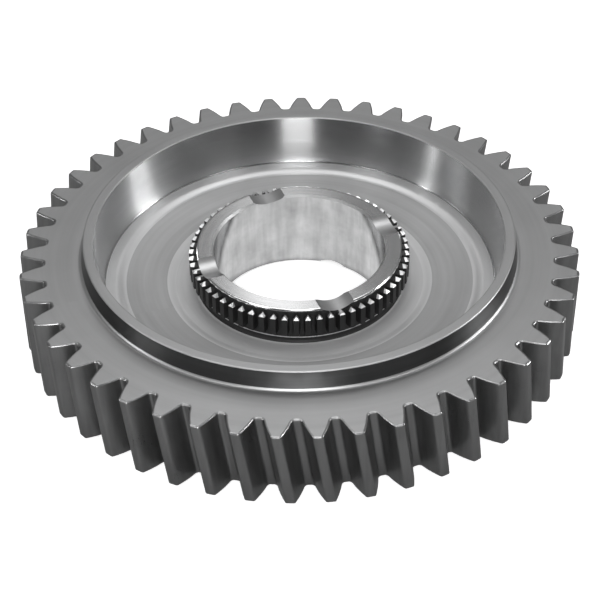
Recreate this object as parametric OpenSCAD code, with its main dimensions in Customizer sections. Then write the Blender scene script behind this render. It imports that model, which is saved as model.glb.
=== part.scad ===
// Helical transmission gear with a raised ring, a dished recess, a hub with clutch teeth and oil notches.
// It is machined from one forging. It stands on its lower thrust face, with the bore along Z.

/* [Gear teeth] */
// Number of helical teeth on the rim
teeth = 47; // [42:1:56]
// Module of the teeth, measured square to a tooth
normal_module = 5; // [4.6:0.1:5.6]
// Pressure angle of the teeth, measured square to a tooth
pressure_angle = 22.5; // [17.5:0.5:25]
// Helix angle at the pitch circle; the teeth lean to the left as they rise
helix_angle = 8; // [0:0.5:20]
// Height of a tooth above the pitch circle, in modules
addendum = 0.95; // [0.8:0.05:1.05]
// Depth of a tooth space below the pitch circle, in modules
dedendum = 1.12; // [1:0.01:1.3]
// Radius of the fillet between a flank and the root circle
root_fillet = 1.4; // [0.5:0.1:2.4]
// Radius of the rounding along both edges of a tooth's tip
tip_round = 1.4; // [0.4:0.1:1.6]
// Turned chamfer at both ends of a tooth's tip
end_chamfer = 1.0; // [0.2:0.1:2.5]
// Angle from an oil notch to the nearest tooth, half way along the face
tooth_phase = 0.6; // [-3.5:0.1:3.5]

/* [Rim] */
// Width of the toothed face, along the bore
face_width = 36.5; // [32:0.5:44]
// Width of the flat side face, from the tooth roots to the foot of the raised ring
side_face = 15.4; // [8:0.2:20]
// Height of the raised ring above the side face
ring_height = 9.2; // [4:0.2:14]
// Width of the raised ring's flat top, with its two broken edges
ring_top = 4.6; // [3:0.1:8]
// Slope of the raised ring's outer wall, from upright
ring_slope = 9; // [0:1:20]
// Radius of the fillet at the raised ring's foot
ring_fillet = 1.5; // [0.5:0.1:3]
// Broken edges of the raised ring and of the lower recess
edge_break = 0.5; // [0.2:0.1:1]

/* [Web] */
// Depth of the recess, from the rim's side face down to the ledge
recess_depth = 14.2; // [10:0.2:16]
// Slope of the recess wall, from upright; the recess narrows on the way down
recess_slope = 8; // [2:0.5:15]
// Radius of the fillet where the recess wall meets the ledge
recess_fillet = 0.6; // [0.3:0.1:3]
// Width of the flat ledge, in from the foot of the recess wall
ledge_width = 4.6; // [4:0.2:8]
// Drop from the ledge to the web
ledge_drop = 1.0; // [0.4:0.1:2]
// Width of the soft step between the ledge and the web
ledge_step = 5; // [2:0.5:8]
// Drop of the dished web from the ledge's side to the boss
web_dish = 1.2; // [0:0.1:2.5]
// Drop from the web to the boss round the hub
boss_drop = 0.6; // [0.2:0.1:1]
// Width of the boss, outside the clutch teeth
boss_width = 8.4; // [3:0.2:10]
// Thickness of the web under the ledge
web_thickness = 12; // [8:0.5:14]
// Fillets of the lower recess
lower_fillet = 4; // [1:0.5:5]
// Width of the lower side face, from the tooth roots to the lower recess
lower_face = 18; // [10:0.5:26]

/* [Hub] */
// Diameter of the bore
bore_d = 76; // [60:0.5:84]
// Chamfer at both ends of the bore
bore_chamfer = 1.0; // [0.3:0.1:2]
// Wall of the hub between the bore and the roots of the clutch teeth
hub_wall = 7.6; // [6:0.2:10]
// Wall of the hub below the web
lower_hub_wall = 12; // [8:0.5:16]
// Rise of the upper thrust face above the rim's side face
hub_rise = 0.5; // [0:0.1:2]
// Drop of the lower thrust face below the rim's lower side face
hub_drop = 1.0; // [0.5:0.1:3]
// Chamfer round both thrust faces
hub_chamfer = 0.9; // [0.3:0.1:1.5]
// Radius of the flare where the hub meets the boss
hub_flare = 2.0; // [0.5:0.1:3]

/* [Clutch teeth] */
// Number of straight clutch teeth round the hub
dog_teeth = 61; // [48:1:66]
// Height of a clutch tooth, out from the hub
dog_height = 3.4; // [2:0.1:4.5]
// Length of a clutch tooth, along the bore
dog_length = 9.8; // [6:0.2:12]
// Distance from the upper thrust face down to the ridge of a clutch tooth
dog_setback = 1.7; // [1.2:0.1:3]
// Thickness of a clutch tooth at its tip
dog_tip = 2.4; // [1.6:0.1:2.6]
// Thickness of a clutch tooth at the hub
dog_root = 3.3; // [2.6:0.1:3.6]
// Slope of the two faces that point a clutch tooth, from level
dog_point = 45; // [20:1:55]
// Chamfer on the outer edge of a clutch tooth's point
dog_chamfer = 1.25; // [0.4:0.05:2]
// Angle from an oil notch to the nearest clutch tooth
dog_phase = -0.6; // [-3:0.1:3]

/* [Oil notches] */
// Number of oil notches in each thrust face
notches = 4; // [2:1:6]
// Width of an oil notch at the thrust face
notch_width = 15.4; // [10:0.2:18]
// Depth of an oil notch
notch_depth = 2.4; // [1:0.1:3.5]

/* [Hidden] */
steel = [0.62, 0.63, 0.64];
$fn = 180;

// Gear geometry in the plane square to the bore
transverse_angle = atan(tan(pressure_angle) / cos(helix_angle));
pitch_r = teeth * normal_module / cos(helix_angle) / 2;
base_r = pitch_r * cos(transverse_angle);
tip_r = pitch_r + addendum * normal_module;
root_r = pitch_r - dedendum * normal_module;
pitch_half = 90 / teeth;

// Levels along the bore, from the lower thrust face up
rim_bottom = hub_drop;
rim_top = rim_bottom + face_width;
hub_top = rim_top + hub_rise;
ring_z = rim_top + ring_height;
ledge_z = rim_top - recess_depth;
web_z = ledge_z - ledge_drop;
boss_z = web_z - web_dish - boss_drop;
lower_z = ledge_z - web_thickness;
ridge_z = hub_top - dog_setback;
dog_bottom = ridge_z - dog_length;

// Radii of the turned shape, from the rim in and from the bore out
ring_foot_r = root_r - side_face;
ring_wall_foot_r = ring_foot_r - ring_fillet * cos(ring_slope);
ring_wall_foot_z = rim_top + ring_fillet * (1 - sin(ring_slope));
ring_outer_r = ring_wall_foot_r - (ring_z - ring_wall_foot_z) * tan(ring_slope);
recess_r = ring_outer_r - ring_top;
recess_foot_r = recess_r - (ring_z - edge_break - ledge_z) * tan(recess_slope);
ledge_r = recess_foot_r - ledge_width;
lower_recess_r = root_r - lower_face;
bore_r = bore_d / 2;
hub_r = bore_r + hub_wall;
dog_r = hub_r + dog_height;
boss_r = dog_r + boss_width;
lower_hub_r = bore_r + lower_hub_wall;

// Allowances for cuts that run past a face, and for teeth that are sunk in the hub
past = 1;
sunk = 0.6;

// Where the two facets of a tip's rounding meet, how the second one leans, and how far it runs on
tip_bend = 50;
tip_facet = 65;
tip_past = 0.3;

function polar(r, a) = [r * cos(a), r * sin(a)];

// Points of an arc round a centre, from angle a0 to angle a1
function arc(centre, r, a0, a1, steps) =
    [for (i = [0:steps]) centre + polar(r, a0 + (a1 - a0) * i / steps)];

// Involute of the base circle: half the angle that a tooth spans at radius r
function inv(a) = tan(a) * 180 / PI - a;
function half_tooth(r) = pitch_half + inv(transverse_angle) - inv(acos(min(1, base_r / r)));

// The root fillet is tangent to the root circle and to the flank. Its centre lies on an involute
// that runs parallel to the flank, so both of its ends follow from the base circle.
function fillet_angle(r) = half_tooth(root_r + r) + r / base_r * 180 / PI;

// Largest fillet that the space between two teeth has room for, found by halving a range
function largest_fillet(low, high, steps) =
    let (middle = (low + high) / 2)
    steps == 0 ? low :
    fillet_angle(middle) < 179 / teeth ? largest_fillet(middle, high, steps - 1) :
    largest_fillet(low, middle, steps - 1);
fillet = min(root_fillet, largest_fillet(0.2, 4, 12));
fillet_r = root_r + fillet;
fillet_tan = sqrt(max(0, pow(fillet_r / base_r, 2) - 1));
fillet_a = fillet_angle(fillet);
flank_tan = max(0.02, fillet_tan - fillet / base_r);
flank_r = base_r * sqrt(1 + flank_tan * flank_tan);
flank_a = half_tooth(flank_r);

// The tip's rounding is tangent to the flank and to the tip circle, about a centre on the tooth
tip_lean = acos(base_r / tip_r);
tip_half = half_tooth(tip_r) * PI / 180 * tip_r;
rounding = min(tip_round, 0.8 * tip_half);
round_x = tip_half - rounding * tan(45 - tip_lean / 2);
flank_top_r = tip_r - rounding * (1 - sin(tip_lean));

function fillet_points(steps) =
    let (centre = polar(fillet_r, fillet_a),
         start = fillet_a + 180,
         to_flank = polar(flank_r, flank_a) - centre,
         turn = atan2(to_flank[1], to_flank[0]) + 360)
    [for (i = [0:steps - 1]) centre + polar(fillet, start + (turn - start) * i / steps)];

function flank_points(steps) =
    [for (i = [0:steps])
        let (r = flank_r + (flank_top_r - flank_r) * i / steps)
        polar(r, half_tooth(r))];

// Two facets make the rounding. The second runs past the tip circle, where the turned blank
// cuts it off.
function tip_points() =
    let (x = round_x + rounding * cos(tip_bend), y = rounding * (1 - sin(tip_bend)),
         run = (y + tip_past) * tan(tip_facet))
    [for (p = [[x, -y], [x - run, tip_past]])
        polar(tip_r + p[1], p[0] / (tip_r + p[1]) * 180 / PI)];

function half_outline() = concat(fillet_points(4), flank_points(4), tip_points());
function turned(points, a) =
    [for (p = points) [p[0] * cos(a) - p[1] * sin(a), p[0] * sin(a) + p[1] * cos(a)]];

// Solid disc with the gear teeth all round, twisted along the helix
module helical_disc() {
    height = ring_z + 2 * past;
    twist_angle = height * tan(helix_angle) / pitch_r * 180 / PI;
    mid_face = (rim_bottom + rim_top) / 2 + past;
    half = half_outline();
    tooth = concat([for (p = half) [p[0], -p[1]]], [for (i = [len(half) - 1:-1:0]) half[i]]);
    outline = [for (i = [0:teeth - 1]) each turned(tooth, i * 360 / teeth)];
    translate([0, 0, -past])
        rotate(tooth_phase + twist_angle * mid_face / height)
            linear_extrude(height, twist = twist_angle, slices = 4)
                polygon(outline);
}

// Turned shape of the whole gear, with the teeth still solid
module turned_blank() {
    lower_side = concat(
        [[bore_r, bore_chamfer], [bore_r + bore_chamfer, 0]],
        [[lower_hub_r - hub_chamfer, 0], [lower_hub_r, hub_chamfer]],
        arc([lower_hub_r + lower_fillet, lower_z - lower_fillet], lower_fillet, 180, 90, 6),
        arc([lower_recess_r - lower_fillet, lower_z - lower_fillet], lower_fillet, 90, 0, 6),
        [[lower_recess_r, rim_bottom + edge_break], [lower_recess_r + edge_break, rim_bottom]]);
    tips = [
        [tip_r - end_chamfer, rim_bottom], [tip_r, rim_bottom + end_chamfer],
        [tip_r, rim_top - end_chamfer], [tip_r - end_chamfer, rim_top]];
    ring = concat(
        arc([ring_foot_r, rim_top + ring_fillet], ring_fillet, 270, 180 + ring_slope, 5),
        [[ring_outer_r, ring_z - edge_break], [ring_outer_r - edge_break, ring_z]],
        [[recess_r + edge_break, ring_z], [recess_r, ring_z - edge_break]]);
    recess = concat(
        arc([recess_foot_r - recess_fillet * tan(45 - recess_slope / 2), ledge_z + recess_fillet],
            recess_fillet, -recess_slope, -90, 4),
        [for (i = [0:8]) [ledge_r - ledge_step * i / 8, ledge_z - ledge_drop * (1 - cos(22.5 * i)) / 2]],
        [[boss_r, boss_z + boss_drop], [boss_r - boss_drop, boss_z]]);
    hub = concat(
        arc([hub_r + hub_flare, boss_z + hub_flare], hub_flare, 270, 180, 5),
        [[hub_r, hub_top - hub_chamfer], [hub_r - hub_chamfer, hub_top]],
        [[bore_r + bore_chamfer, hub_top], [bore_r, hub_top - bore_chamfer]]);
    rotate_extrude()
        polygon(concat(lower_side, tips, ring, recess, hub));
}

// One clutch tooth on the X axis: a tapered block under a pointed roof
module clutch_tooth() {
    roof = dog_root / 2 * tan(dog_point);
    inner = hub_r - sunk;
    outer = dog_r + sunk;
    slope = (dog_root - dog_tip) / 2 / dog_height;
    intersection() {
        translate([0, 0, dog_bottom])
            linear_extrude(dog_length + past)
                polygon([
                    [inner, -dog_root / 2 - slope * sunk], [outer, -dog_tip / 2 + slope * sunk],
                    [outer, dog_tip / 2 - slope * sunk], [inner, dog_root / 2 + slope * sunk]]);
        translate([inner - past, 0, ridge_z])
            rotate([90, 0, 90])
                linear_extrude(outer - inner + 2 * past)
                    polygon([
                        [0, 0], [-dog_root, -2 * roof], [-dog_root, -dog_length - past],
                        [dog_root, -dog_length - past], [dog_root, -2 * roof]]);
    }
}

module clutch_teeth() {
    intersection() {
        for (i = [0:dog_teeth - 1])
            rotate(dog_phase + i * 360 / dog_teeth) clutch_tooth();
        rotate_extrude()
            polygon([
                [hub_r - sunk, dog_bottom], [dog_r, dog_bottom],
                [dog_r, ridge_z - dog_chamfer], [dog_r - dog_chamfer - past, ridge_z + past],
                [hub_r - sunk, ridge_z + past]]);
    }
}

// One ring of oil notches, milled across a thrust face by a round cutter whose axis is radial
module oil_notches(outer_r) {
    cutter_r = (notch_width * notch_width / 4 + notch_depth * notch_depth) / (2 * notch_depth);
    for (i = [0:notches - 1])
        rotate(i * 360 / notches)
            translate([0, 0, cutter_r - notch_depth])
                rotate([0, 90, 0]) cylinder(r = cutter_r, h = outer_r);
}

module gear() {
    color(steel)
        intersection() {
            helical_disc();
            difference() {
                union() {
                    turned_blank();
                    clutch_teeth();
                }
                translate([0, 0, hub_top]) oil_notches(dog_r + past);
                rotate(180 / notches) mirror([0, 0, 1]) oil_notches(lower_hub_r + past);
            }
        }
}

gear();
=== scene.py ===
"""Helical transmission gear: its machined surface, from the same sizes as its solid, on a pale floor."""

from math import acos, atan, atan2, cos, pi, radians, sin, sqrt, tan

import bmesh
import bpy
from mathutils import Matrix, Vector


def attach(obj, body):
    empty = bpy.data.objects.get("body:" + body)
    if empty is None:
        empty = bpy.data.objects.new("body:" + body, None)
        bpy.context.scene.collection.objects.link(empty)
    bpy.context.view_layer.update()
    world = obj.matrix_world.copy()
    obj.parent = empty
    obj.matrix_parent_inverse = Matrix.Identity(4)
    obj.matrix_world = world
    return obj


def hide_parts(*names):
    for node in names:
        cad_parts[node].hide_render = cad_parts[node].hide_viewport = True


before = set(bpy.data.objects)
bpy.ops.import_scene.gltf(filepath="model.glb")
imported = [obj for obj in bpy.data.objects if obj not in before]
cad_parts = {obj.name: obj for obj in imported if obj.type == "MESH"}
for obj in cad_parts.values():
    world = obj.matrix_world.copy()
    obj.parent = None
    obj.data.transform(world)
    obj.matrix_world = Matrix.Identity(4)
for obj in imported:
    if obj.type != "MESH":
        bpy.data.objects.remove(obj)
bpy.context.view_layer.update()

MM = 0.001
TURN = 2 * pi

# Gear teeth (millimetres and degrees)
TEETH = 47
NORMAL_MODULE = 5.0
PRESSURE_ANGLE = 22.5
HELIX_ANGLE = 8.0
ADDENDUM = 0.95
DEDENDUM = 1.12
ROOT_FILLET = 1.4
TIP_ROUND = 1.4
FLANK_BREAK = 0.6
TIP_BREAK = 1.0
TOOTH_PHASE = 0.6

# Rim, raised ring and web
RIM_BOTTOM = 1.0
FACE_WIDTH = 36.5
SIDE_FACE = 15.4
RING_HEIGHT = 9.2
RING_TOP = 4.6
RING_SLOPE = 9.0
RING_FILLET = 1.5
EDGE_BREAK = 0.5
RECESS_DEPTH = 14.2
RECESS_SLOPE = 8.0
RECESS_FILLET = 0.6
LEDGE_WIDTH = 4.6
LEDGE_DROP = 1.0
LEDGE_STEP = 5.0
WEB_DISH = 1.2
BOSS_DROP = 0.6
BOSS_WIDTH = 8.4
BOSS_STEP = 4.0
WEB_THICKNESS = 12.0
LOWER_FILLET = 4.0
LOWER_FACE = 18.0

# Hub, clutch teeth and oil notches
BORE_RADIUS = 38.0
BORE_CHAMFER = 1.0
HUB_WALL = 7.6
LOWER_HUB_WALL = 12.0
HUB_RISE = 0.5
HUB_CHAMFER = 0.9
HUB_FLARE = 2.0
# a thin band on the hub wall below the clutch teeth, in the bright finish: a painted highlight line
HIGHLIGHT_LINE_RISE = 2.7
HIGHLIGHT_LINE_WIDTH = 0.5
DOG_TEETH = 61
DOG_HEIGHT = 3.4
DOG_LENGTH = 9.8
DOG_SETBACK = 1.7
DOG_TIP = 2.4
DOG_ROOT = 3.3
DOG_CHAMFER = 1.25
DOG_PHASE = -0.6
# share of each clutch point, from its outer end, in the bright finish: painted highlight
DOG_HIGHLIGHT_SHARE = 0.45
NOTCHES = 4
NOTCH_WIDTH = 15.4
NOTCH_DEPTH = 2.4

# Levels along the bore and radii, as in the solid
rim_top = RIM_BOTTOM + FACE_WIDTH
rim_middle = (RIM_BOTTOM + rim_top) / 2
hub_top = rim_top + HUB_RISE
ring_z = rim_top + RING_HEIGHT
ledge_z = rim_top - RECESS_DEPTH
web_z = ledge_z - LEDGE_DROP
boss_z = web_z - WEB_DISH - BOSS_DROP
lower_z = ledge_z - WEB_THICKNESS
ridge_z = hub_top - DOG_SETBACK
highlight_line_z = boss_z + HIGHLIGHT_LINE_RISE
dog_bottom = ridge_z - DOG_LENGTH
transverse_angle = atan(tan(radians(PRESSURE_ANGLE)) / cos(radians(HELIX_ANGLE)))
pitch_r = TEETH * NORMAL_MODULE / cos(radians(HELIX_ANGLE)) / 2
base_r = pitch_r * cos(transverse_angle)
tip_r = pitch_r + ADDENDUM * NORMAL_MODULE
root_r = pitch_r - DEDENDUM * NORMAL_MODULE
ring_foot_r = root_r - SIDE_FACE
slope = radians(RING_SLOPE)
ring_wall_foot_r = ring_foot_r - RING_FILLET * cos(slope)
ring_wall_foot_z = rim_top + RING_FILLET * (1 - sin(slope))
ring_outer_r = ring_wall_foot_r - (ring_z - ring_wall_foot_z) * tan(slope)
recess_r = ring_outer_r - RING_TOP
recess_foot_r = recess_r - (ring_z - EDGE_BREAK - ledge_z) * tan(radians(RECESS_SLOPE))
ledge_r = recess_foot_r - LEDGE_WIDTH
lower_recess_r = root_r - LOWER_FACE
hub_r = BORE_RADIUS + HUB_WALL
dog_r = hub_r + DOG_HEIGHT
boss_r = dog_r + BOSS_WIDTH
lower_hub_r = BORE_RADIUS + LOWER_HUB_WALL
twist_per_mm = tan(radians(HELIX_ANGLE)) / pitch_r

# Where the toothed rim, the turned web and the hub are sewn together
SEAM_R = root_r - 3.0
BRIDGE = 1.5
UPPER_BRIDGE_R = dog_r + BOSS_WIDTH * 0.55
LOWER_BRIDGE_R = lower_hub_r + LOWER_FILLET + 4.0
WELD = 2e-6

# How finely the surface is made
STEPS_PER_TOOTH = 6
STEP_FACETS = 8
FILLET_FACETS = 6
EDGE_FACETS = 3
EDGE_REACH = 2.0
WALL_SPANS = 7
NOTCH_OVERRUN = 8.0
NOTCH_FACETS = 144
SMOOTH_LIMIT = radians(28)

TURNED, WEB, LEDGE_PAINTED_LIGHT, STEP_PAINTED_LIGHT, BOSS_PAINTED_LIGHT, GROUND, BORE, FLANK_PAINTED_SHADE, DOG_PAINTED_SHADE, POINT_PAINTED_HIGHLIGHT, NOTCH, WALL, RING_PAINTED_SHADE = range(13)


# Materials

class Nodes:
    """A material's nodes, linked as they are made."""

    def __init__(self, material):
        material.use_nodes = True
        self.tree = material.node_tree
        self.tree.nodes.clear()

    def add(self, kind, settings=None, **inputs):
        node = self.tree.nodes.new(kind)
        for name, value in (settings or {}).items():
            setattr(node, name, value)
        for name, value in inputs.items():
            key = int(name[1:]) if name[0] == "i" and name[1:].isdigit() else name.replace("_", " ")
            socket = node.inputs[key]
            if isinstance(value, bpy.types.NodeSocket):
                self.tree.links.new(value, socket)
            else:
                socket.default_value = value
        return node

    def math(self, operation, a, b=0.0):
        return self.add("ShaderNodeMath", {"operation": operation}, i0=a, i1=b).outputs[0]

    def vector(self, x, y, z):
        return self.add("ShaderNodeCombineXYZ", X=x, Y=y, Z=z).outputs[0]

    def vector_math(self, operation, output, *values):
        inputs = {"i%d" % i: value for i, value in enumerate(values)}
        return self.add("ShaderNodeVectorMath", {"operation": operation}, **inputs).outputs[output]

    def ramp(self, value, low, high, out_low=0.0, out_high=1.0):
        return self.add("ShaderNodeMapRange", {"clamp": True}, Value=value, From_Min=low, From_Max=high,
                        To_Min=out_low, To_Max=out_high).outputs[0]

    def noise(self, vector, scale, detail=2.0, roughness=0.5):
        return self.add("ShaderNodeTexNoise", Vector=vector, Scale=scale, Detail=detail,
                        Roughness=roughness).outputs[0]

    def mix(self, factor, a, b):
        node = self.tree.nodes.new("ShaderNodeMix")
        node.data_type = "RGBA"
        for socket, value in ((node.inputs[0], factor), (node.inputs[6], a), (node.inputs[7], b)):
            if isinstance(value, bpy.types.NodeSocket):
                self.tree.links.new(value, socket)
            else:
                socket.default_value = value
        return node.outputs[2]


def grey(value):
    return (value, value * 1.004, value * 1.01, 1.0)


def steel(name, tone, gloss, marks, mark_pitch, mark_depth, metallic=1.0, brushed=0.0, blotch=40.0,
          along=False, streaks=False):
    """Machined steel, between two tones and two roughnesses.

    marks is the share of tool marks in its tone, against blotches; their pitch and depth are in millimetres.
    The marks run round the bore, or up the tooth when along is set. With streaks set, the tone runs in
    upright light and dark streaks.
    """
    material = bpy.data.materials.new("steel_" + name)
    n = Nodes(material)
    place = n.add("ShaderNodeTexCoord").outputs["Object"]
    xyz = n.add("ShaderNodeSeparateXYZ", Vector=place).outputs
    squares = n.math("MULTIPLY", xyz[0], xyz[0]), n.math("MULTIPLY", xyz[1], xyz[1])
    radius = n.math("SQRT", n.math("ADD", *squares))
    turn = n.math("ARCTAN2", xyz[1], xyz[0])
    if along:
        lines = n.vector(n.math("MULTIPLY", turn, 0.12), radius, n.math("MULTIPLY", xyz[2], 0.02))
    else:
        lines = n.vector(n.math("MULTIPLY", turn, 0.002), radius, xyz[2])
    fine = n.noise(lines, 1.0 / (mark_pitch * MM), 3.0, 0.65)
    broad = n.noise(lines, 0.18 / (mark_pitch * MM), 2.0, 0.5)
    cloud = n.noise(place, blotch, 4.0, 0.55)
    grain = n.noise(place, 2600.0, 2.0, 0.6)
    if streaks:
        broad = n.noise(n.vector(xyz[0], xyz[1], n.math("MULTIPLY", xyz[2], 0.12)), 55.0, 4.0, 0.75)
    shade = n.math("ADD", n.math("MULTIPLY", cloud, 1.0 - marks), n.math("MULTIPLY", broad, marks))
    colour = n.mix(n.ramp(shade, 0.3, 0.7), grey(tone[0]), grey(tone[1]))
    wear = n.math("ADD", n.math("MULTIPLY", fine, 0.5), n.math("MULTIPLY", cloud, 0.5))
    rough = n.ramp(wear, 0.3, 0.7, *gloss)
    height = n.math("ADD", fine, n.math("MULTIPLY", grain, 0.35))
    bump = n.add("ShaderNodeBump", Strength=1.0, Distance=mark_depth * MM, Height=height).outputs[0]
    shader = n.add("ShaderNodeBsdfPrincipled", Base_Color=colour, Metallic=metallic, Roughness=rough,
                   Normal=bump)
    if brushed:
        round_bore = n.vector_math("NORMALIZE", 0, n.vector(n.math("MULTIPLY", xyz[1], -1.0), xyz[0], 0.0))
        n.tree.links.new(round_bore, shader.inputs["Tangent"])
        shader.inputs["Anisotropic"].default_value = brushed
        shader.inputs["Anisotropic Rotation"].default_value = 0.25
    n.add("ShaderNodeOutputMaterial", Surface=shader.outputs[0])
    return material


finish = [
    steel("turned", (0.46, 0.53), (0.38, 0.44), 0.6, 0.55, 0.0006),
    steel("web", (0.44, 0.56), (0.46, 0.54), 0.6, 0.45, 0.0006, metallic=0.5),
    # ledge: lighter tone than the web, painted light where the recess wall shades it
    steel("ledge", (0.68, 0.78), (0.34, 0.40), 0.5, 0.45, 0.0003, metallic=0.7),
    # step down to the boss: lighter tone, a painted highlight arc
    steel("step", (0.68, 0.78), (0.46, 0.54), 0.5, 0.45, 0.0003, metallic=0.4),
    # boss: lighter, less metallic tone, painted light where the hub darkens its reflections
    steel("boss", (0.63, 0.73), (0.50, 0.60), 0.5, 0.45, 0.0003, metallic=0.3),
    steel("ground", (0.60, 0.70), (0.12, 0.18), 0.7, 0.40, 0.0004),
    steel("bore", (0.34, 0.82), (0.06, 0.14), 0.6, 0.60, 0.0003, blotch=90.0, streaks=True),
    # tooth flanks: tone set dark, painted shade for the dark ground they mirror
    steel("flank", (0.27, 0.36), (0.26, 0.36), 0.5, 0.35, 0.0012, along=True),
    # clutch teeth and hub wall: near-black tone, painted shade
    steel("dog_painted_shade", (0.022, 0.036), (0.40, 0.50), 0.4, 0.50, 0.0006, metallic=0.3),
    # clutch points and the hub's thin line: tone brighter than bare steel, painted highlight
    steel("point", (0.80, 0.88), (0.32, 0.40), 0.4, 0.50, 0.0006),
    steel("notch", (0.50, 0.58), (0.32, 0.40), 0.5, 0.40, 0.0003),
    steel("wall", (0.50, 0.56), (0.22, 0.24), 0.5, 0.50, 0.00005, brushed=1.0),
    # outer wall of the raised ring: near-black tone, painted shade
    steel("ring", (0.07, 0.10), (0.28, 0.34), 0.5, 0.50, 0.0001),
]


# Gear tooth profile

def inv(angle):
    return tan(angle) - angle


def half_tooth(r):
    return pi / (2 * TEETH) + inv(transverse_angle) - inv(acos(min(1.0, base_r / r)))


def polar(r, a):
    return Vector((r * cos(a), r * sin(a)))


def half_profile(fillet_steps=5, flank_steps=9, tip_steps=4):
    """Points from the middle of a tooth space to the middle of the tooth's tip, at positive angles."""
    fillet_r = root_r + ROOT_FILLET
    fillet_tan = sqrt((fillet_r / base_r) ** 2 - 1)
    fillet_a = half_tooth(fillet_r) + ROOT_FILLET / base_r
    flank_tan = fillet_tan - ROOT_FILLET / base_r
    flank_r = base_r * sqrt(1 + flank_tan ** 2)
    centre = polar(fillet_r, fillet_a)
    end = polar(flank_r, half_tooth(flank_r)) - centre
    start_turn, end_turn = fillet_a + pi, atan2(end.y, end.x) + TURN
    points = [polar(root_r, pi / TEETH), polar(root_r, (pi / TEETH + fillet_a) / 2)]
    for i in range(fillet_steps):
        points.append(centre + polar(ROOT_FILLET, start_turn + (end_turn - start_turn) * i / fillet_steps))
    lean = acos(base_r / tip_r)
    flank_top = tip_r - TIP_ROUND * (1 - sin(lean))
    for i in range(flank_steps):
        r = flank_r + (flank_top - flank_r) * i / flank_steps
        points.append(polar(r, half_tooth(r)))
    round_x = half_tooth(tip_r) * tip_r - TIP_ROUND * tan(pi / 4 - lean / 2)
    for i in range(tip_steps + 1):
        t = lean + (pi / 2 - lean) * i / tip_steps
        r = tip_r - TIP_ROUND * (1 - sin(t))
        points.append(polar(r, (round_x + TIP_ROUND * cos(t)) / r))
    points.append(polar(tip_r, round_x / tip_r / 2))
    points.append(polar(tip_r, 0.0))
    return points


def tooth_profile():
    """One pitch, from the middle of a space to the middle of the next, with its outward normals."""
    half = half_profile()
    points = [Vector((p.x, -p.y)) for p in half] + half[-2::-1]
    normals = []
    for i, p in enumerate(points):
        if i in (0, len(points) - 1):
            normals.append(p.normalized())
            continue
        along = (points[i + 1] - points[i - 1]).normalized()
        normals.append(Vector((along.y, -along.x)))
    return points, normals


def edge_levels():
    """Steps over the broken edge at a tooth's end: (share of it cut off, share of it gone down)."""
    turns = [pi / 2 * i / EDGE_FACETS for i in range(EDGE_FACETS + 1)]
    return [(1.35, 0.0)] + [(1 - sin(t), 1 - cos(t)) for t in turns] + [(0.0, 1.5)]


def tooth_rings():
    """Levels of one tooth pitch, from the upper side face to the lower: lists of points in millimetres."""
    points, normals = tooth_profile()

    def level(z_of, cut):
        ring = []
        for p, normal in zip(points, normals):
            outward = max(0.0, normal.dot(p.normalized()))
            size = FLANK_BREAK + (TIP_BREAK - FLANK_BREAK) * outward ** 6
            q = p - normal * min(size * cut, size + 0.2)
            z = z_of(size)
            angle = radians(TOOTH_PHASE) + (rim_middle - z) * twist_per_mm
            ring.append((q.x * cos(angle) - q.y * sin(angle), q.x * sin(angle) + q.y * cos(angle), z))
        return ring

    upper = [level(lambda size, d=down: rim_top - size * d, cut) for cut, down in edge_levels()]
    lower = [level(lambda size, d=down: RIM_BOTTOM + size * d, cut) for cut, down in edge_levels()]
    middle = []
    for i in range(WALL_SPANS):
        z = rim_top - EDGE_REACH - (FACE_WIDTH - 2 * EDGE_REACH) * i / (WALL_SPANS - 1)
        middle.append(level(lambda size, z=z: z, 0.0))
    return upper + middle + lower[::-1]


def seam_angle(z, i):
    """Angle of point i of the circle that closes the side faces, at height z."""
    start = radians(TOOTH_PHASE) + (rim_middle - z) * twist_per_mm - pi / TEETH
    return start + TURN / TEETH * i / STEPS_PER_TOOTH


def plain_mesh(name, points, faces):
    mesh = bpy.data.meshes.new(name)
    mesh.from_pydata([(x * MM, y * MM, z * MM) for x, y, z in points], [], faces)
    return mesh


def tooth_wall():
    """The flanks, tip and root of one tooth, with its broken end edges."""
    rings = tooth_rings()
    width = len(rings[0])
    points = [p for ring in rings for p in ring]
    faces = []
    for row in range(len(rings) - 1):
        for i in range(width - 1):
            a = row * width + i
            faces.append((a, a + width, a + width + 1, a + 1))
    return plain_mesh("tooth_wall", points, faces)


def tooth_sides():
    """The upper and lower side face of one tooth, in to the seam circle."""
    rings = tooth_rings()
    points, faces = [], []
    for ring, z in ((rings[0], rim_top), (rings[-1], RIM_BOTTOM)):
        first = len(points)
        seam = [(*polar(SEAM_R, seam_angle(z, i)), z) for i in range(STEPS_PER_TOOTH, -1, -1)]
        points += [(x, y, z) for x, y, _ in ring] + seam
        face = list(range(first, len(points)))
        faces.append(face if z == RIM_BOTTOM else face[::-1])
    return plain_mesh("tooth_sides", points, faces)


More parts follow.
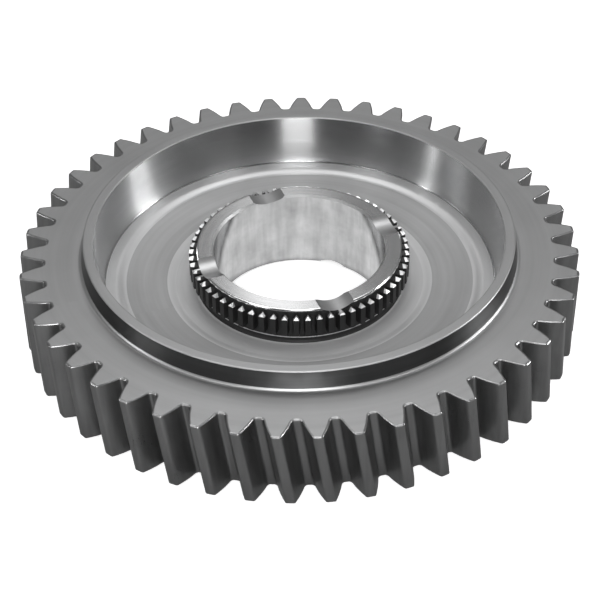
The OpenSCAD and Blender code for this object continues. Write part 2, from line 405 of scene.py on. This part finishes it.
def dog_points():
    """Points of one pitch of the clutch ring, from the tooth's foot to its ridge.

    The share of a point, from its outer end, that gets the painted highlight is DOG_HIGHLIGHT_SHARE.
    """
    half_root, half_tip = DOG_ROOT / 2, DOG_TIP / 2
    a_root, a_tip = half_root / hub_r, half_tip / dog_r
    eave, corner = ridge_z - half_root, ridge_z - DOG_CHAMFER
    edge = pi / DOG_TEETH
    turn = radians(DOG_PHASE)
    ridge_r = dog_r - DOG_CHAMFER
    highlight_r = dog_r + (hub_r - dog_r) * DOG_HIGHLIGHT_SHARE
    highlight_z = corner + (eave - corner) * DOG_HIGHLIGHT_SHARE
    a_highlight = a_tip + (a_root - a_tip) * DOG_HIGHLIGHT_SHARE

    def at(r, a, z):
        return (*polar(r, a + turn), z)

    hub_foot = [at(hub_r, a, dog_bottom) for a in (-edge, -a_root, 0, a_root, edge)]
    hub_eave = [at(hub_r, a, eave) for a in (-edge, -a_root, a_root, edge)]
    hub_ridge = [at(hub_r, a, ridge_z) for a in (-edge, -a_root, 0, a_root, edge)]
    tooth_foot = [at(dog_r, a, dog_bottom) for a in (-a_tip, 0, a_tip)]
    tooth_top = [at(dog_r, -a_tip, corner), at(dog_r, a_tip, corner), at(ridge_r, 0, ridge_z),
                 at(dog_r, 0, corner)]
    highlight_edge = [at(highlight_r, -a_highlight, highlight_z), at(highlight_r, a_highlight, highlight_z),
                   at(ridge_r + (hub_r - ridge_r) * DOG_HIGHLIGHT_SHARE, 0, ridge_z)]
    return hub_foot + hub_eave + hub_ridge + tooth_foot + tooth_top + highlight_edge


def dog_wall():
    """One pitch of the hub's wall with the sides, the outer face and the foot of its clutch tooth."""
    faces = [(0, 1, 6, 5), (3, 4, 8, 7), (5, 6, 10, 9), (7, 8, 13, 12), (6, 11, 10), (7, 12, 11),
             (1, 14, 17, 21, 6), (16, 3, 7, 22, 18), (14, 15, 20, 17), (15, 16, 18, 20), (1, 2, 15, 14),
             (2, 3, 16, 15), (6, 21, 23, 11), (22, 7, 11, 23)]
    return plain_mesh("dog_wall", dog_points(), faces)


def dog_point():
    """The ground faces that point a clutch tooth; their bright tone is a painted highlight."""
    faces = [(17, 20, 19), (20, 18, 19), (21, 17, 19, 23), (18, 22, 23, 19)]
    return plain_mesh("dog_point", dog_points(), faces)


def copies_tree():
    """Geometry nodes that set copies of a piece evenly round the bore and sew their edges together."""
    tree = bpy.data.node_groups.new("copies_round_bore", "GeometryNodeTree")
    face = tree.interface
    sockets = ("Piece", "Geometry"), ("Copies", "Int"), ("Sewing distance", "Float"), ("Finish", "Material")
    for name, kind in sockets:
        face.new_socket(name, in_out="INPUT", socket_type="NodeSocket" + kind)
    face.new_socket("Ring", in_out="OUTPUT", socket_type="NodeSocketGeometry")

    def node(kind, **settings):
        made = tree.nodes.new(kind)
        for name, value in settings.items():
            setattr(made, name, value)
        return made

    link = tree.links.new
    given, result = node("NodeGroupInput"), node("NodeGroupOutput")
    points = node("GeometryNodePoints")
    index = node("GeometryNodeInputIndex")
    step = node("ShaderNodeMath", operation="DIVIDE")
    angle = node("ShaderNodeMath", operation="MULTIPLY")
    turn = node("ShaderNodeCombineXYZ")
    place = node("GeometryNodeInstanceOnPoints")
    real = node("GeometryNodeRealizeInstances")
    sew = node("GeometryNodeMergeByDistance")
    coat = node("GeometryNodeSetMaterial")
    step.inputs[0].default_value = TURN
    link(given.outputs["Copies"], points.inputs["Count"])
    link(given.outputs["Copies"], step.inputs[1])
    link(index.outputs[0], angle.inputs[0])
    link(step.outputs[0], angle.inputs[1])
    link(angle.outputs[0], turn.inputs["Z"])
    link(points.outputs[0], place.inputs["Points"])
    link(given.outputs["Piece"], place.inputs["Instance"])
    link(turn.outputs[0], place.inputs["Rotation"])
    link(place.outputs[0], real.inputs[0])
    link(real.outputs[0], sew.inputs["Geometry"])
    link(given.outputs["Sewing distance"], sew.inputs["Distance"])
    link(sew.outputs[0], coat.inputs["Geometry"])
    link(given.outputs["Finish"], coat.inputs["Material"])
    link(coat.outputs[0], result.inputs[0])
    return tree


copies = copies_tree()


def evaluated(obj):
    """The plain mesh that an object's modifiers make. The object is removed."""
    bpy.context.view_layer.update()
    mesh = bpy.data.meshes.new_from_object(obj.evaluated_get(bpy.context.evaluated_depsgraph_get()))
    bpy.data.objects.remove(obj)
    return mesh


def ring_of(mesh, count, surface):
    obj = bpy.data.objects.new(mesh.name, mesh)
    bpy.context.scene.collection.objects.link(obj)
    modifier = obj.modifiers.new("copies", "NODES")
    modifier.node_group = copies
    given = {"Copies": count, "Sewing distance": WELD, "Finish": finish[surface]}
    for item in copies.interface.items_tree:
        if item.name in given:
            modifier[item.identifier] = given[item.name]
    return evaluated(obj)


# Turned surfaces

def arc(r0, z0, radius, start, end, steps):
    """Points of a fillet or round in the section, with its centre at (r0, z0); angles in degrees."""
    return [(r0 + radius * cos(radians(start + (end - start) * i / steps)),
             z0 + radius * sin(radians(start + (end - start) * i / steps))) for i in range(steps + 1)]


def held(points, reach=0.25):
    """Adds a point close to both ends of each short step, so that shading stays flat on the long faces."""
    out = [points[0]]
    for a, b in zip(points, points[1:]):
        span = sqrt((b[0] - a[0]) ** 2 + (b[1] - a[1]) ** 2)
        if span > 4 * reach:
            for t in (reach / span, 1 - reach / span):
                out.append((a[0] + (b[0] - a[0]) * t, a[1] + (b[1] - a[1]) * t))
        out.append(b)
    return out


def lathe(bm, section, angles, surface):
    """A turned surface: the section swept through the angles, all round."""
    rings = [[bm.verts.new((r * cos(a) * MM, r * sin(a) * MM, z * MM)) for a in angles]
             for r, z in section]
    count = len(angles)
    for one, two in zip(rings, rings[1:]):
        for i in range(count):
            j = (i + 1) % count
            bm.faces.new((one[i], one[j], two[j], two[i])).material_index = surface
    return rings[0], rings[-1]


def bridge(bm, outer, inner, surface):
    """Triangles between two circles of points that have different counts."""
    def angle(v):
        return atan2(v.co.y, v.co.x) % TURN

    outer, inner = sorted(outer, key=angle), sorted(inner, key=angle)
    oa = [angle(v) for v in outer] + [angle(outer[0]) + TURN]
    ia = [angle(v) for v in inner] + [angle(inner[0]) + TURN]
    i = j = 0
    while i < len(outer) or j < len(inner):
        a, b = outer[i % len(outer)], inner[j % len(inner)]
        if j >= len(inner) or (i < len(outer) and oa[i + 1] <= ia[j + 1]):
            made = bm.faces.new((a, outer[(i + 1) % len(outer)], b))
            i += 1
        else:
            made = bm.faces.new((a, inner[(j + 1) % len(inner)], b))
            j += 1
        made.material_index = surface


def rim_angles(z):
    return [seam_angle(z, i) for i in range(TEETH * STEPS_PER_TOOTH)]


def hub_angles():
    a_root, edge = DOG_ROOT / 2 / hub_r, pi / DOG_TEETH
    out = []
    for k in range(DOG_TEETH):
        middle = radians(DOG_PHASE) + 2 * edge * k
        out += [middle - edge, middle - a_root, middle, middle + a_root]
    return out


def append(bm, mesh, surface):
    before = len(bm.faces)
    bm.from_mesh(mesh)
    bm.faces.ensure_lookup_table()
    for face in bm.faces[before:]:
        face.material_index = surface


def round_edge(r, z, size, inward, up):
    """A broken edge of a section corner at (r, z), in short steps from the wall to the flat."""
    turns = [pi / 2 * i / EDGE_FACETS for i in range(EDGE_FACETS + 1)]
    return [(r + inward * size * (1 - cos(t)), z - up * size * (1 - sin(t))) for t in turns]


def soft_step(r, z, width, drop):
    """An S in the section, from (r, z) inwards over its width and down by its drop."""
    shares = [i / STEP_FACETS for i in range(STEP_FACETS + 1)]
    return [(r - width * t, z - drop * (1 - cos(pi * t)) / 2) for t in shares]


def gear_mesh():
    """The gear's closed surface before its oil notches are cut."""
    bm = bmesh.new()
    # tooth flanks, in the finish whose dark tone is painted shade
    append(bm, ring_of(tooth_wall(), TEETH, FLANK_PAINTED_SHADE), FLANK_PAINTED_SHADE)
    append(bm, ring_of(tooth_sides(), TEETH, TURNED), TURNED)
    # clutch teeth in the near-black finish, painted shade
    append(bm, ring_of(dog_wall(), DOG_TEETH, DOG_PAINTED_SHADE), DOG_PAINTED_SHADE)
    # clutch points in the bright finish, a painted highlight
    append(bm, ring_of(dog_point(), DOG_TEETH, POINT_PAINTED_HIGHLIGHT), POINT_PAINTED_HIGHLIGHT)

    upper, lower, hub = rim_angles(rim_top), rim_angles(RIM_BOTTOM), hub_angles()

    foot = arc(ring_foot_r, rim_top + RING_FILLET, RING_FILLET, 270, 180 + RING_SLOPE, FILLET_FACETS)
    outer_edge = round_edge(ring_outer_r, ring_z, EDGE_BREAK, -1, 1)
    inner_edge = round_edge(recess_r, ring_z, EDGE_BREAK, 1, 1)[::-1]
    lathe(bm, held([(SEAM_R, rim_top)] + foot), upper, TURNED)
    # outer wall of the raised ring, in the near-black finish that paints shade
    lathe(bm, held([foot[-1], outer_edge[0]]), upper, RING_PAINTED_SHADE)
    lathe(bm, held(outer_edge + inner_edge), upper, TURNED)
    fillet_in = RECESS_FILLET * tan(radians(45 - RECESS_SLOPE / 2))
    wall = [inner_edge[-1]]
    wall += arc(recess_foot_r - fillet_in, ledge_z + RECESS_FILLET, RECESS_FILLET, -RECESS_SLOPE, -90, 4)
    lathe(bm, held(wall), upper, WALL)
    drop = soft_step(ledge_r, ledge_z, LEDGE_STEP, LEDGE_DROP)
    # ledge in the lightened finish, painted light
    lathe(bm, held([wall[-1]] + drop), upper, LEDGE_PAINTED_LIGHT)
    step = soft_step(boss_r + BOSS_STEP / 2, boss_z + BOSS_DROP, BOSS_STEP, BOSS_DROP)
    lathe(bm, held([drop[-1], step[0]]), upper, WEB)
    # step in the lightened finish, a painted highlight
    lathe(bm, step, upper, STEP_PAINTED_LIGHT)
    # boss in the lightened finish, painted light
    _, outer = lathe(bm, [step[-1], (UPPER_BRIDGE_R, boss_z)], upper, BOSS_PAINTED_LIGHT)

    inner, _ = lathe(bm, held([(UPPER_BRIDGE_R - BRIDGE, boss_z), (hub_r + HUB_FLARE, boss_z)]), hub, BOSS_PAINTED_LIGHT)
    flare = arc(hub_r + HUB_FLARE, boss_z + HUB_FLARE, HUB_FLARE, 270, 180, FILLET_FACETS)
    # The thin band between these two levels gets the bright finish: a painted highlight line on the hub wall.
    highlight_low, highlight_high = [(hub_r, highlight_line_z + side * HIGHLIGHT_LINE_WIDTH / 2) for side in (-1, 1)]
    lathe(bm, flare[:3], hub, BOSS_PAINTED_LIGHT)
    # The hub wall up to the clutch teeth, and above them to its chamfer, gets the near-black finish: painted
    # shade.
    lathe(bm, flare[2:] + [highlight_low], hub, DOG_PAINTED_SHADE)
    lathe(bm, [highlight_low, highlight_high], hub, POINT_PAINTED_HIGHLIGHT)
    lathe(bm, [highlight_high, (hub_r, dog_bottom)], hub, DOG_PAINTED_SHADE)
    bridge(bm, outer, inner, BOSS_PAINTED_LIGHT)
    lathe(bm, [(hub_r, ridge_z), (hub_r, hub_top - HUB_CHAMFER)], hub, DOG_PAINTED_SHADE)
    nose = round_edge(hub_r, hub_top, HUB_CHAMFER, -1, 1)
    lathe(bm, nose, hub, GROUND)
    face = [nose[-1], (BORE_RADIUS + BORE_CHAMFER, hub_top)]
    lathe(bm, held(face), hub, GROUND)
    hole = [face[-1], (BORE_RADIUS, hub_top - BORE_CHAMFER), (BORE_RADIUS, BORE_CHAMFER),
            (BORE_RADIUS + BORE_CHAMFER, 0.0)]
    lathe(bm, hole[:2], hub, TURNED)
    lathe(bm, hole[1:3], hub, BORE)
    lathe(bm, hole[2:], hub, TURNED)
    foot = [hole[-1], (lower_hub_r - HUB_CHAMFER, 0.0), (lower_hub_r, HUB_CHAMFER)]
    lathe(bm, held(foot), hub, GROUND)
    under_hub = [foot[-1]]
    under_hub += arc(lower_hub_r + LOWER_FILLET, lower_z - LOWER_FILLET, LOWER_FILLET, 180, 90, FILLET_FACETS)
    under_hub += [(LOWER_BRIDGE_R, lower_z)]
    _, inner = lathe(bm, held(under_hub), hub, WEB)

    under = [(LOWER_BRIDGE_R + BRIDGE, lower_z)]
    under += arc(lower_recess_r - LOWER_FILLET, lower_z - LOWER_FILLET, LOWER_FILLET, 90, 0, FILLET_FACETS)
    under += [(lower_recess_r, RIM_BOTTOM + EDGE_BREAK), (lower_recess_r + EDGE_BREAK, RIM_BOTTOM)]
    under += [(SEAM_R, RIM_BOTTOM)]
    outer, _ = lathe(bm, held(under), lower, TURNED)
    bridge(bm, outer, inner, WEB)

    bmesh.ops.remove_doubles(bm, verts=bm.verts, dist=WELD)
    bmesh.ops.recalc_face_normals(bm, faces=bm.faces)
    mesh = bpy.data.meshes.new("gear_body")
    bm.to_mesh(mesh)
    bm.free()
    for material in finish:
        mesh.materials.append(material)
    return mesh


def notch_cutters():
    """Round cutters that lie radially over both thrust faces, the lower ones half way between the upper."""
    cutter_r = (NOTCH_WIDTH ** 2 / 4 + NOTCH_DEPTH ** 2) / (2 * NOTCH_DEPTH)
    bm = bmesh.new()
    inner = BORE_RADIUS - NOTCH_OVERRUN
    lay = Matrix.Rotation(pi / 2, 4, "Y")
    faces = (1, hub_top, 0.0, dog_r + 1), (-1, 0.0, pi / NOTCHES, lower_hub_r + 1)
    for sign, level, offset, reach in faces:
        middle = Vector(((inner + reach) / 2, 0, level + sign * (cutter_r - NOTCH_DEPTH)))
        shift = Matrix.Translation(middle * MM)
        for k in range(NOTCHES):
            turn = Matrix.Rotation(offset + TURN / NOTCHES * k, 4, "Z")
            bmesh.ops.create_cone(bm, cap_ends=True, segments=NOTCH_FACETS, radius1=cutter_r * MM,
                                  radius2=cutter_r * MM, depth=(reach - inner) * MM,
                                  matrix=turn @ shift @ lay)
    for face in bm.faces:
        face.material_index = NOTCH
    mesh = bpy.data.meshes.new("notch_cutters")
    bm.to_mesh(mesh)
    bm.free()
    for material in finish:
        mesh.materials.append(material)
    cutters = bpy.data.objects.new("notch_cutters", mesh)
    bpy.context.scene.collection.objects.link(cutters)
    return cutters


def make_gear():
    body = bpy.data.objects.new("gear_uncut", gear_mesh())
    bpy.context.scene.collection.objects.link(body)
    cutters = notch_cutters()
    cut = body.modifiers.new("notches", "BOOLEAN")
    cut.operation, cut.solver, cut.object = "DIFFERENCE", "EXACT", cutters
    mesh = evaluated(body)
    bpy.data.objects.remove(cutters)
    mesh.shade_smooth()
    mesh.set_sharp_from_angle(angle=SMOOTH_LIMIT)
    mesh.name = "machined_gear"
    gear = bpy.data.objects.new("machined_gear", mesh)
    bpy.context.scene.collection.objects.link(gear)
    return gear


gear = make_gear()
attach(gear, "root")
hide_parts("gear")


# Floor, lights and camera

FLOOR_SIZE = 6.0
FLOOR_SEEN, FLOOR_LIT = 0.85, 0.36


def floor_material():
    """Pale floor that the camera sees as white, with the gear's shadow.

    Polished metal sees a painted glow on it: bright through the bore, none under the gear, where it stays
    dark, and light again out in the open.
    """
    material = bpy.data.materials.new("pale_floor")
    n = Nodes(material)
    path = n.add("ShaderNodeLightPath").outputs
    seen = n.math("MAXIMUM", path["Is Camera Ray"], path["Is Transmission Ray"])
    place = n.add("ShaderNodeTexCoord").outputs["Object"]
    away = n.vector_math("LENGTH", "Value", place)
    # glow for mirror rays only, placed by distance from the axis: painted reflection light
    painted_bore_glow, painted_open_glow = n.ramp(away, 0.0345, 0.039, 0.70, 0.0), n.ramp(away, 0.30, 0.90, 0.0, 0.52)
    painted_mirror_glow = n.math("MULTIPLY", path["Is Glossy Ray"], n.math("MAXIMUM", painted_bore_glow, painted_open_glow))
    glow = n.math("ADD", n.math("MULTIPLY", seen, 0.72), painted_mirror_glow)
    shades = [(tone, tone, tone, 1.0) for tone in (FLOOR_LIT, FLOOR_SEEN)]
    diffuse = n.add("ShaderNodeBsdfDiffuse", Color=n.mix(seen, *shades))
    light = n.add("ShaderNodeEmission", Color=(1.0, 1.0, 1.0, 1.0), Strength=glow)
    both = n.add("ShaderNodeAddShader", i0=diffuse.outputs[0], i1=light.outputs[0])
    n.add("ShaderNodeOutputMaterial", Surface=both.outputs[0])
    return material


def make_floor():
    mesh = bpy.data.meshes.new("floor")
    corners = [(x * FLOOR_SIZE, y * FLOOR_SIZE, 0) for x, y in ((-1, -1), (1, -1), (1, 1), (-1, 1))]
    mesh.from_pydata(corners, [], [(0, 1, 2, 3)])
    mesh.materials.append(floor_material())
    floor = bpy.data.objects.new("floor", mesh)
    bpy.context.scene.collection.objects.link(floor)


def make_world():
    """White behind the gear for the camera. For light, a grey room that is darker on the camera's side."""
    world = bpy.data.worlds.new("studio")
    bpy.context.scene.world = world
    n = Nodes(world)
    path = n.add("ShaderNodeLightPath").outputs
    bearing = n.add("ShaderNodeTexCoord").outputs["Generated"]
    toward = n.vector_math("DOT_PRODUCT", "Value", bearing, tuple(seen_from(0.2, 0.98, 0)))
    room = n.ramp(toward, -0.5, 0.75, 0.115, 0.26)
    seen = n.math("MAXIMUM", path["Is Camera Ray"], path["Is Transmission Ray"])
    level = n.math("ADD", n.math("MULTIPLY", room, n.math("SUBTRACT", 1.0, seen)), seen)
    background = n.add("ShaderNodeBackground", Color=(1.0, 1.0, 1.0, 1.0), Strength=level)
    n.add("ShaderNodeOutputWorld", Surface=background.outputs[0])


VIEW_TURN = radians(-20.7)  # the photograph's left-to-right axis, from +X


def seen_from(x, y, z):
    """A place given by the photograph's right, away and up, in metres."""
    return Matrix.Rotation(VIEW_TURN, 3, "Z") @ Vector((x, y, z))


def softbox(name, place, target, width, height, power):
    data = bpy.data.lights.new(name, "AREA")
    data.shape = "RECTANGLE"
    data.size, data.size_y, data.energy = width, height, power
    light = bpy.data.objects.new(name, data)
    light.location = seen_from(*place)
    light.rotation_euler = (seen_from(*target) - light.location).to_track_quat("-Z", "Y").to_euler()
    bpy.context.scene.collection.objects.link(light)


def window(name, bearing, rise, distance, width, height, strength):
    """A bright pane that lights the gear from a bearing (degrees, from the photograph's right) and a rise."""
    a, e = radians(bearing), radians(rise)
    place = (distance * cos(a) * cos(e), distance * sin(a) * cos(e), distance * sin(e))
    softbox(name, place, (0, 0, 0.03), width, height, strength * pi * width * height)


def make_lights():
    window("high_window", 90, 68, 2.0, 1.20, 0.70, 2.5)
    window("low_window", -90, 22, 2.0, 0.58, 1.20, 10)
    window("front_window", -88, 50, 2.0, 0.60, 0.50, 3)
    window("front_left_window", -138, 44, 2.0, 0.50, 0.36, 5)
    window("front_right_window", -42, 44, 2.0, 0.50, 0.36, 5)
    window("right_window_a", 2.5, 17, 2.0, 0.11, 1.00, 22)
    window("right_window_b", 10, 17, 2.0, 0.11, 1.00, 22)
    window("left_window", 191, 17, 2.0, 0.10, 1.00, 22)
    window("back_glow", 91, 48, 1.9, 0.90, 0.30, 0.4)
    window("back_window", 91.2, 40.5, 1.8, 0.12, 0.28, 1.45)


CAMERA_BACK = 612.7
CAMERA_UP = 463.4
CAMERA_PITCH = radians(38.88)
CAMERA_ROLL = radians(-0.89)
FOCAL_PIXELS = 1732.0
IMAGE = 600.0


def make_camera():
    data = bpy.data.cameras.new("camera")
    data.sensor_width = 36.0
    data.lens = FOCAL_PIXELS / IMAGE * 36.0
    data.clip_start = 0.05
    right, ahead = Vector((1, 0, 0)), Vector((0, cos(CAMERA_PITCH), -sin(CAMERA_PITCH)))
    up = right.cross(ahead)
    across = right * cos(CAMERA_ROLL) + up * sin(CAMERA_ROLL)
    upward = up * cos(CAMERA_ROLL) - right * sin(CAMERA_ROLL)
    basis = Matrix((across, upward, -ahead)).transposed()
    turn = Matrix.Rotation(VIEW_TURN, 3, "Z")
    place = turn @ Vector((0, -CAMERA_BACK, CAMERA_UP + rim_top)) * MM
    camera = bpy.data.objects.new("camera", data)
    camera.matrix_world = Matrix.Translation(place) @ (turn @ basis).to_4x4()
    bpy.context.scene.collection.objects.link(camera)
    bpy.context.scene.camera = camera


make_floor()
make_world()
make_lights()
make_camera()
bpy.context.scene.view_settings.view_transform = "Standard"
